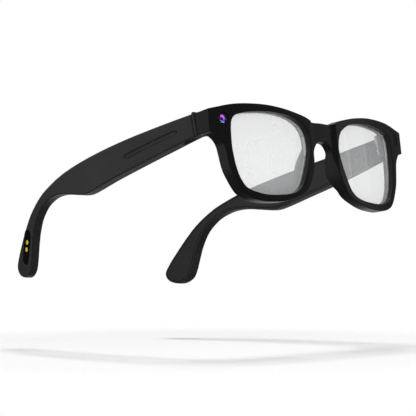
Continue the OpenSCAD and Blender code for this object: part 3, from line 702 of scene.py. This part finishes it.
def floor_material(centre):
    """Pale floor that fades out at its edge and isn't there from below."""
    made, shader = new_material("Pale floor")
    nodes, link = made.node_tree.nodes, made.node_tree.links.new
    place, centred = nodes.new("ShaderNodeTexCoord"), nodes.new("ShaderNodeVectorMath")
    length, fade = nodes.new("ShaderNodeVectorMath"), nodes.new("ShaderNodeMapRange")
    centred.operation, length.operation = "SUBTRACT", "LENGTH"
    centred.inputs[1].default_value = centre
    link(place.outputs["Object"], centred.inputs[0])
    link(centred.outputs[0], length.inputs[0])
    fade.interpolation_type = "SMOOTHSTEP"
    for side, value in (("From Min", 0.12), ("From Max", 0.28), ("To Min", 1), ("To Max", 0)):
        fade.inputs[side].default_value = value
    link(length.outputs["Value"], fade.inputs["Value"])
    facing, above = nodes.new("ShaderNodeNewGeometry"), nodes.new("ShaderNodeMath")
    above.operation = "SUBTRACT"
    above.inputs[0].default_value = 1
    link(facing.outputs["Backfacing"], above.inputs[1])
    alpha = nodes.new("ShaderNodeMath")
    alpha.operation = "MULTIPLY"
    link(fade.outputs[0], alpha.inputs[0])
    link(above.outputs[0], alpha.inputs[1])
    link(alpha.outputs[0], shader.inputs["Alpha"])
    speck, tone = nodes.new("ShaderNodeTexNoise"), nodes.new("ShaderNodeMapRange")
    speck.inputs["Scale"].default_value = 12
    link(place.outputs["Object"], speck.inputs["Vector"])
    tone.inputs["To Min"].default_value = colours().floor[0] * 0.99
    tone.inputs["To Max"].default_value = colours().floor[0]
    link(speck.outputs["Fac"], tone.inputs["Value"])
    link(tone.outputs[0], shader.inputs["Base Color"])
    shader.inputs["Roughness"].default_value = 1
    shader.inputs["Specular IOR Level"].default_value = 0
    return made


def rounded_copy(name, nodes, material, width, segments=2, back=0):
    """A CAD part with its edges rounded, for parts whose shape is right and whose edges are too sharp."""
    bm = merged(*nodes)
    bmesh.ops.translate(bm, verts=bm.verts[:], vec=(0, back, 0))
    weigh_edges(bm, width)
    return make_piece(name, bm, NODES[nodes[0]]["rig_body"], nodes, material, width, segments)


# ---- Stage ----

# The view: where it is from in metres, its directions, and its sensor and focal length in millimetres
VIEW_FROM = Vector((-0.822911, -0.679736, -0.210528))
RIGHT = Vector((0.65469, -0.73741, -0.16616)).normalized()
UP = Vector((-0.05157, -0.26288, 0.96345)).normalized()
BACK = RIGHT.cross(UP).normalized()
SENSOR_W, FOCAL = 36, 190.3846
FLOOR_AWAY, FLOOR_DROP, FLOOR_R = 1.088, 0.0702, 0.3
# Tall narrow lamps that show in the lenses: name, the bearings between which each stands, and its brightness
STRIPS = (
    ("Near strip", 43.2, 44.6, 0.3), ("Far band", 50, 59.4, 0.35), ("Far edge", 58.4, 59.5, 0.6),
    ("Outer band", 61.8, 67.2, 0.25), ("Outer edge", 66.4, 67.2, 0.5))
STRIP_AWAY, STRIP_H = 1.5, 1.6


def place_camera(scene):
    """Looks at the glasses from below, in front and the wearer's right."""
    data = bpy.data.cameras.new("Camera")
    data.sensor_width = SENSOR_W
    data.lens = FOCAL
    data.clip_start = 0.01
    data.clip_end = 20
    camera = bpy.data.objects.new("Camera", data)
    turn = Matrix((RIGHT, UP, BACK)).transposed()
    camera.matrix_world = Matrix.Translation(VIEW_FROM) @ turn.to_4x4()
    scene.collection.objects.link(camera)
    scene.camera = camera


def lay_floor(scene):
    """A pale disc, level with the camera's horizon."""
    centre = VIEW_FROM - BACK * FLOOR_AWAY - UP * FLOOR_DROP
    bm = bmesh.new()
    bmesh.ops.create_circle(bm, segments=96, radius=FLOOR_R, cap_ends=True)
    bmesh.ops.inset_region(bm, faces=bm.faces[:], thickness=FLOOR_R / 3, depth=0)
    turn = Matrix((RIGHT, -BACK, UP)).transposed()
    bmesh.ops.transform(bm, verts=bm.verts[:], matrix=Matrix.Translation(centre) @ turn.to_4x4())
    mesh = bpy.data.meshes.new("floor")
    bm.to_mesh(mesh)
    bm.free()
    floor = bpy.data.objects.new("floor", mesh)
    scene.collection.objects.link(floor)
    mesh.materials.append(floor_material(centre))
    floor.visible_glossy = False


def lamp(name, place, aim, width, height, power, seen=False):
    """A soft light that points at a place. One that isn't seen doesn't show in reflections."""
    data = bpy.data.lights.new(name, "AREA")
    data.shape, data.size, data.size_y, data.energy = "RECTANGLE", width, height, power
    made = bpy.data.objects.new(name, data)
    made.location = place
    made.rotation_mode = "QUATERNION"
    made.rotation_quaternion = (aim - place).to_track_quat("-Z", "Y")
    made.visible_glossy = seen
    made.visible_camera = False
    bpy.context.scene.collection.objects.link(made)


def hang_lamps():
    """A soft light overhead, one in front, and the strips that show in the lenses."""
    middle = Vector((0, 0, 0.02))
    lamp("Overhead", middle + UP * 1.1, middle, 0.45, 0.45, 10.2)
    lamp("Front fill", middle + BACK * 1.0 + RIGHT * 0.3 + UP * 0.3, middle, 0.9, 0.9, 5.6)
    lens = Vector((LENS.x, TO_ROW.y, TO_ROW.z)) * MM
    for name, start, end, brightness in STRIPS:
        bearing = math.radians((start + end) / 2)
        away = Vector((math.sin(bearing), -math.cos(bearing), 0.07))
        width = STRIP_AWAY * math.radians(end - start)
        power = brightness * math.pi * width * STRIP_H
        lamp(name, lens + away * STRIP_AWAY, lens, width, STRIP_H, power, seen=True)


def studio_world():
    """White where the camera sees it, and for all else a grey that is lighter behind and darker low down."""
    world = bpy.data.worlds.new("Pale studio")
    world.use_nodes = True
    nodes, link = world.node_tree.nodes, world.node_tree.links.new
    nodes.clear()
    place, apart = nodes.new("ShaderNodeTexCoord"), nodes.new("ShaderNodeSeparateXYZ")
    link(place.outputs["Generated"], apart.inputs[0])

    def graded(axis, start, end, first, last):
        """A smooth change along an axis, from first at start to last at end."""
        made = nodes.new("ShaderNodeMapRange")
        made.interpolation_type = "SMOOTHSTEP"
        for side, value in (("From Min", start), ("From Max", end), ("To Min", first), ("To Max", last)):
            made.inputs[side].default_value = value
        link(apart.outputs[axis], made.inputs["Value"])
        return made.outputs[0]

    def combined(operation, first, second):
        """Two values as one."""
        made = nodes.new("ShaderNodeMath")
        made.operation = operation
        link(first, made.inputs[0])
        link(second, made.inputs[1])
        return made.outputs[0]

    walls = combined("MULTIPLY", graded("Y", -0.35, 0.55, 0.03, 0.55), graded("Z", -0.55, -0.2, 0.12, 1))
    # Darker again straight behind, where the temples' tips would reflect it
    grey = combined("MULTIPLY", walls, graded("Y", 0.84, 0.95, 1, 0.1))
    white, lit = nodes.new("ShaderNodeBackground"), nodes.new("ShaderNodeBackground")
    for background in (white, lit):
        background.inputs["Color"].default_value = (1, 1, 1, 1)
    white.inputs["Strength"].default_value = 1
    link(grey, lit.inputs["Strength"])
    path, mix = nodes.new("ShaderNodeLightPath"), nodes.new("ShaderNodeMixShader")
    bounced = combined("MAXIMUM", path.outputs["Is Diffuse Ray"], path.outputs["Is Glossy Ray"])
    link(combined("MAXIMUM", bounced, path.outputs["Is Transmission Ray"]), mix.inputs[0])
    link(white.outputs[0], mix.inputs[1])
    link(lit.outputs[0], mix.inputs[2])
    out = nodes.new("ShaderNodeOutputWorld")
    link(mix.outputs[0], out.inputs["Surface"])
    return world


# ---- Pieces ----

class GLASSES_OT_front(bpy.types.Operator):
    """Build the rounded front and give it its polished finish"""
    bl_idname = "glasses.front"
    bl_label = "Front"

    def execute(self, context):
        bm = make_front(sizes().front_round / MM)
        black = plastic("Polished black", colours().front, 0.25, spread=0.05, bump=0.05, specular=0.35)
        make_piece("front", bm, "front", ["front_frame"], black, None)
        return {"FINISHED"}


class GLASSES_OT_temples(bpy.types.Operator):
    """Round the temple shells and covers and give them their satin finish"""
    bl_idname = "glasses.temples"
    bl_label = "Temples"

    def execute(self, context):
        satin = plastic("Satin black", colours().temple, 0.42, spread=0.05, bump=0.25)
        for side in ("left", "right"):
            body = side + "_temple"
            for part, width in (("shell", sizes().temple_round), ("cover", sizes().small_round)):
                bm = merged(f"{body}_{part}")
                weigh_edges(bm, width)
                make_piece(f"{side}_{part}", bm, body, [f"{body}_{part}"], satin, width)
        return {"FINISHED"}


class GLASSES_OT_lenses(bpy.types.Operator):
    """Build the curved lenses with their pale painted veil, which stands in for the studio's reflection"""
    bl_idname = "glasses.lenses"
    bl_label = "Lenses"

    def execute(self, context):
        clear = lens_with_painted_veil("Lens with painted veil", tuple(colours().lens))
        for name, side in (("left", 1), ("right", -1)):
            make_piece(name + "_clear_lens", make_lens(side), "front", [name + "_lens"],
                       clear, None)
        return {"FINISHED"}


class GLASSES_OT_camera(bpy.types.Operator):
    """Build the camera's bezel, glass and iris, and the indicator's window"""
    bl_idname = "glasses.camera"
    bl_label = "Camera and indicator"

    def execute(self, context):
        trim = plastic("Trim black", (0.006, 0.006, 0.007), 0.3, bump=0.05)
        gloss = plastic("Indicator gloss", (0.004, 0.004, 0.005), 0.1, spread=0.03, bump=0.02, coat=0.5)
        right, left = eye_place(-1), eye_place(1)
        glass, iris = clear_glass("Camera glass", (0.95, 0.96, 1)), iris_painted_glow("Iris painted glow")
        for name, profile, place, slot, nodes, finish in (
                ("camera_bezel_ring", BEZEL, right, "trim_black", ["camera_bezel"], trim),
                ("camera_cover_glass", COVER_GLASS, right, "camera_glass", ["camera_window"], glass),
                ("camera_barrel_body", BARREL, right, "trim_black", ["camera_barrel"], trim),
                ("camera_iris", IRIS, right, "camera_glass", [], iris),
                ("indicator_glass", INDICATOR, left, "trim_black", ["indicator_window"], gloss)):
            make_piece(name, lathe(profile, place), "front", nodes, finish, None)
        return {"FINISHED"}


class GLASSES_OT_hinges(bpy.types.Operator):
    """Round the hinges, their pins and screws"""
    bl_idname = "glasses.hinges"
    bl_label = "Hinges"

    def execute(self, context):
        steel = plastic("Hinge steel", colours().steel, 0.28, spread=0.1, grain=5000, bump=0.15, lighter=1.1,
                        metallic=1)
        # The temple leaves and all screws get a darker steel than the front leaves and pins
        dark = plastic("Darker steel", (0.06, 0.06, 0.065), 0.4, spread=0.1, bump=0.1, metallic=1)
        for side in ("left", "right"):
            for part in ("front_leaf", "temple_leaf", "pin"):
                finish = dark if part == "temple_leaf" else steel
                rounded_copy(f"{side}_{part}_rounded", [f"{side}_hinge_{part}"], finish,
                             0.15 * MM)
            for part in ("front_screws", "temple_screws"):
                rounded_copy(f"{side}_{part}_rounded", [f"{side}_hinge_{part}"], dark, 0.1 * MM)
        return {"FINISHED"}


class GLASSES_OT_fittings(bpy.types.Operator):
    """Build the gaskets, ports, charging plate and contacts, button and switch"""
    bl_idname = "glasses.fittings"
    bl_label = "Fittings"

    def execute(self, context):
        rubber = plastic("Gasket rubber", (0.013, 0.013, 0.0135), 0.45, bump=0.3)
        mesh = woven("Port mesh", (0.05, 0.05, 0.052))
        trim = plastic("Fitting black", (0.01, 0.01, 0.011), 0.35, bump=0.15)
        for side in ("left", "right"):
            rounded_copy(side + "_gasket_collar", [side + "_joint_gasket"], rubber, 0.2 * MM)
            dress(side + "_port_mesh", mesh)
            dress(side + "_microphones", mesh)
        # These two stand just proud of the front's back
        proud = 0.15 * MM
        rounded_copy("bridge_mesh", ["bridge_microphone"], mesh, 0.1 * MM, back=proud)
        rounded_copy("brow_strip", ["brow_cover"], trim, 0.1 * MM, back=proud)
        matt = plastic("Matt black", (0.0015, 0.0015, 0.0015), 0.7, bump=0.2, specular=0.08)
        rounded_copy("charging_base", ["charging_plate"], matt, 0.15 * MM)
        rounded_copy("capture_key", ["capture_button"], trim, 0.2 * MM)
        rounded_copy("power_slider", ["power_switch"], trim, 0.2 * MM)
        gold = plastic("Contact gold", tuple(colours().gold), 0.3, spread=0.08, bump=0.1, lighter=1.05,
                       metallic=0.2)
        place = plate_place()
        for number, x in ((1, -2.65), (2, 1.05)):
            bm = lathe(CONTACT, place @ Matrix.Translation((x, 0, 0)), steps=36)
            stands_for = ["charging_contacts"] if number == 1 else []
            make_piece(f"charging_contact_{number}", bm, "right_temple", stands_for, gold, None)
        return {"FINISHED"}


class GLASSES_OT_inside(bpy.types.Operator):
    """Give the parts inside their finishes"""
    bl_idname = "glasses.inside"
    bl_label = "Inside"

    def execute(self, context):
        board = plastic("Circuit board", (0.01, 0.09, 0.035), 0.4, grain=1800, bump=0.4, lighter=2.2)
        foil = plastic("Cell foil", (0.55, 0.56, 0.58), 0.35, spread=0.12, grain=2500, bump=0.4, metallic=1)
        flex = plastic("Flex circuit", (0.45, 0.18, 0.03), 0.35, grain=2500, bump=0.2, lighter=1.5)
        black = plastic("Speaker black", (0.01, 0.01, 0.01), 0.5, bump=0.3)
        plated = plastic("Plated metal", (0.7, 0.71, 0.72), 0.3, spread=0.1, bump=0.15, metallic=1, lighter=1.1)
        for names, material in (
                (("camera_sensor", "indicator_board", "left_board", "main_board", "switch_contacts"), board),
                (("left_battery", "right_battery"), foil), (("front_flex", "touch_sensor"), flex),
                (("left_speaker", "right_speaker"), black),
                (("processor_shield", "charging_magnets", "button_dome"), plated)):
            for name in names:
                dress(name, material)
        return {"FINISHED"}


class GLASSES_OT_stage(bpy.types.Operator):
    """Set up the pale floor, the soft lights and the camera"""
    bl_idname = "glasses.stage"
    bl_label = "Stage"

    def execute(self, context):
        scene = context.scene
        place_camera(scene)
        lay_floor(scene)
        hang_lamps()
        scene.world = studio_world()
        scene.view_settings.view_transform = "Standard"
        return {"FINISHED"}


class GLASSES_PT_panel(bpy.types.Panel):
    """Sizes, colours and build steps of the glasses"""
    bl_idname = "GLASSES_PT_panel"
    bl_label = "Glasses"
    bl_space_type = "VIEW_3D"
    bl_region_type = "UI"
    bl_category = "Glasses"

    def draw(self, context):
        for group in (context.scene.glasses_sizes, context.scene.glasses_colours):
            for name in group.__annotations__:
                self.layout.prop(group, name)
        for step in STEPS:
            self.layout.operator(step.bl_idname)


STEPS = (GLASSES_OT_front, GLASSES_OT_temples, GLASSES_OT_lenses, GLASSES_OT_camera, GLASSES_OT_hinges,
         GLASSES_OT_fittings, GLASSES_OT_inside, GLASSES_OT_stage)
CLASSES = (GlassesSizes, GlassesColours, *STEPS, GLASSES_PT_panel)


def register():
    for made in CLASSES:
        bpy.utils.register_class(made)
    bpy.types.Scene.glasses_sizes = bpy.props.PointerProperty(type=GlassesSizes)
    bpy.types.Scene.glasses_colours = bpy.props.PointerProperty(type=GlassesColours)


def unregister():
    del bpy.types.Scene.glasses_colours
    del bpy.types.Scene.glasses_sizes
    for made in reversed(CLASSES):
        bpy.utils.unregister_class(made)


def main():
    """Makes every piece and the stage."""
    register()
    bpy.ops.glasses.front()
    bpy.ops.glasses.temples()
    bpy.ops.glasses.lenses()
    bpy.ops.glasses.camera()
    bpy.ops.glasses.hinges()
    bpy.ops.glasses.fittings()
    bpy.ops.glasses.inside()
    bpy.ops.glasses.stage()


if __name__ == "__main__":
    main()
